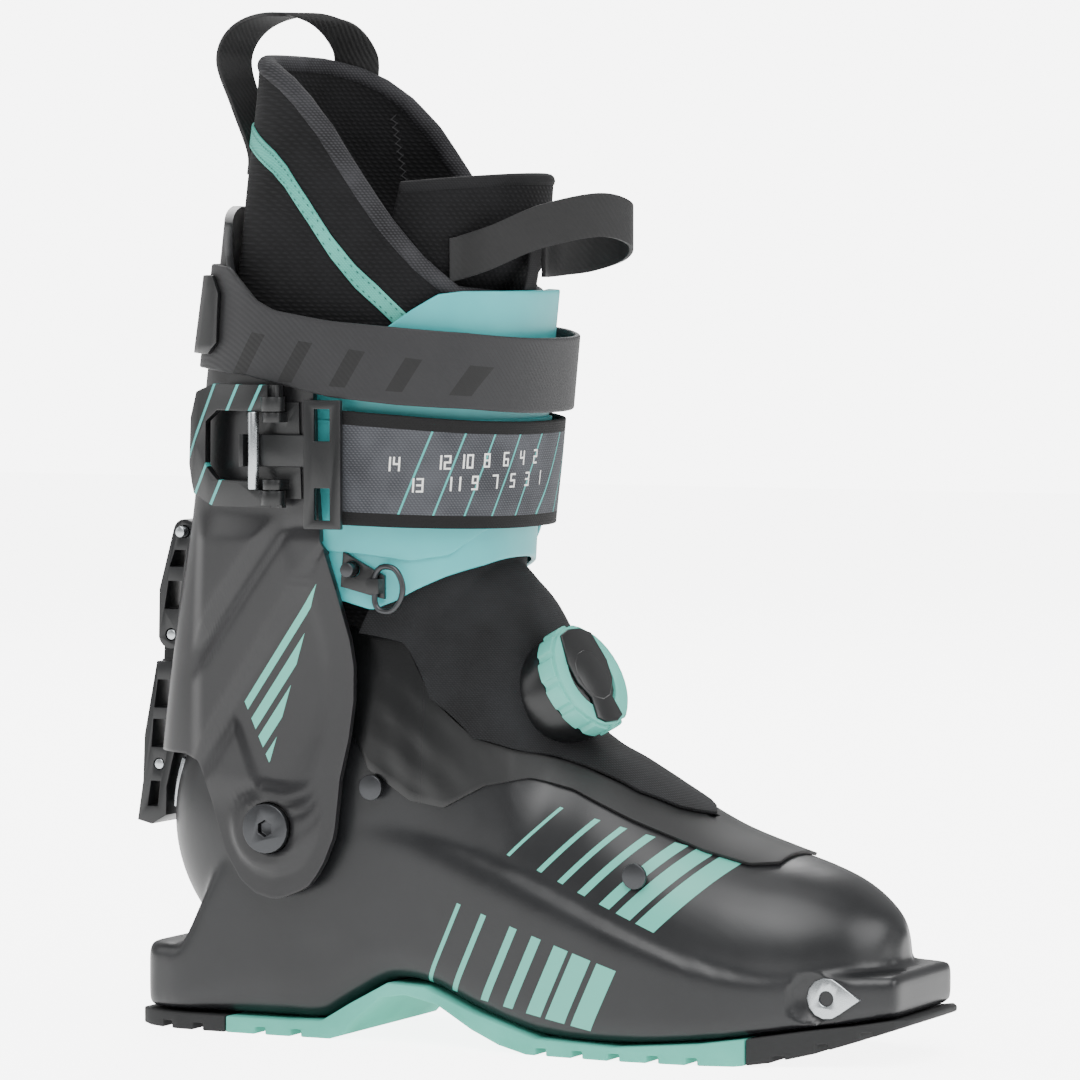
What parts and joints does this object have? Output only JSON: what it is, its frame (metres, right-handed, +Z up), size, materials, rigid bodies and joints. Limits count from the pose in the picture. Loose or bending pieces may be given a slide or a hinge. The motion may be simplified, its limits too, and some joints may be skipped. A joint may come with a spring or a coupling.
{
  "type": "alpine touring boot",
  "caption": "Alpine touring boot with moulded shell, pivoting cuff, walk lever, buckle strap, power strap, instep dial, padded liner and lugged sole.",
  "frame": {"origin": "centre of the bounding box in plan, at the lowest sole lugs", "axes": "+X to the toe, +Y to the inner (medial) side of this right boot, +Z up"},
  "size_m": [0.2986, 0.1164, 0.3548],
  "materials": {
    "moulded_shell": "satin",
    "black_nylon": "satin",
    "turquoise_plastic": "satin",
    "turquoise_rubber": "matt",
    "black_rubber": "matt",
    "liner_fabric": "matt",
    "webbing": "matt",
    "steel": "brushed",
    "dark_steel": "satin"
  },
  "bodies": {
    "shell": {"lower_shell": "moulded_shell", "heel_rubber": "black_rubber", "outsole": "turquoise_rubber", "toe_rubber": "black_rubber", "boot_board": "black_nylon", "liner_foot": "liner_fabric", "footbed": "liner_fabric", "gaiter": "liner_fabric", "gaiter_rand": "black_nylon", "toe_insert_outer": "steel", "toe_insert_inner": "steel", "shell_rivet_outer_rear": "dark_steel", "shell_rivet_outer_front": "dark_steel", "shell_rivet_inner_rear": "dark_steel", "shell_rivet_inner_front": "dark_steel", "heel_insert": "steel", "lock_plate": "steel", "pivot_bush_outer": "black_nylon", "pivot_bush_inner": "black_nylon", "pivot_bolt_outer": "dark_steel", "pivot_bolt_inner": "dark_steel", "pivot_nut_outer": "dark_steel", "pivot_nut_inner": "dark_steel", "dial_housing": "black_nylon"},
    "leg_cuff": {"cuff": "moulded_shell", "tongue": "turquoise_plastic", "power_strap": "webbing", "power_strap_pad": "black_nylon", "buckle_strap": "webbing", "strap_anchor": "black_nylon", "buckle_base": "black_nylon", "knuckle_pin_low": "steel", "knuckle_pin_top": "steel", "walk_link_pin": "steel", "liner_shaft": "liner_fabric", "liner_tongue": "liner_fabric", "front_pull_loop": "webbing", "rear_pull_loop": "webbing", "ring_tab": "black_nylon", "ring_tab_rivet": "steel"},
    "buckle_arm": {"buckle_lever": "moulded_shell", "tension_pin": "steel"},
    "strap_plate": {"buckle_plate": "black_nylon"},
    "upper_link": {"walk_link": "moulded_shell", "walk_lever_pin": "steel"},
    "heel_lever": {"walk_lever": "moulded_shell", "lock_pin": "steel"},
    "ratchet": {"dial_ratchet": "black_nylon"},
    "dial": {"dial_knob": "turquoise_plastic", "dial_cap": "black_nylon", "dial_spool": "black_nylon"},
    "tab_ring": {"d_ring": "steel"}
  },
  "joints": [
    {"name": "cuff_pivot", "type": "hinge", "parent": "shell", "child": "leg_cuff", "pos_m": [-0.0787, 0.00298, 0.073], "axis": [0, 1, 0], "range_deg": [-35, 12], "deforming": ["gaiter"]},
    {"name": "walk_link_hinge", "type": "hinge", "parent": "leg_cuff", "child": "upper_link", "pos_m": [-0.1302, 0.00298, 0.1725], "axis": [0, 1, 0], "range_deg": [0, 40]},
    {"name": "walk_lever_hinge", "type": "hinge", "parent": "upper_link", "child": "heel_lever", "pos_m": [-0.1357, 0.00298, 0.136], "axis": [0, 1, 0], "range_deg": [0, 90]},
    {"name": "buckle_lever_hinge", "type": "hinge", "parent": "leg_cuff", "child": "buckle_arm", "pos_m": [-0.0707, -0.05402, 0.2035], "axis": [0, 0, 1], "range_deg": [0, 150]},
    {"name": "strap_pull", "type": "slide", "parent": "leg_cuff", "child": "strap_plate", "axis": [1, 0, 0], "range_m": [0, 0.015], "deforming": ["buckle_strap"]},
    {"name": "dial_pull", "type": "slide", "parent": "shell", "child": "ratchet", "axis": [0.8757, -0.1513, 0.4587], "range_m": [0, 0.003]},
    {"name": "dial_turn", "type": "hinge", "parent": "ratchet", "child": "dial", "pos_m": [0.0173, -0.00902, 0.1206], "axis": [0.8757, -0.1513, 0.4587], "continuous": true},
    {"name": "ring_swing", "type": "hinge", "parent": "leg_cuff", "child": "tab_ring", "pos_m": [-0.0377, -0.04242, 0.158], "axis": [0, 0, -1], "range_deg": [0, 80]}
  ],
  "couplings": [
    {"joint": "strap_pull", "follows": "buckle_lever_hinge", "m_per_rad": 0.0057}
  ]
}
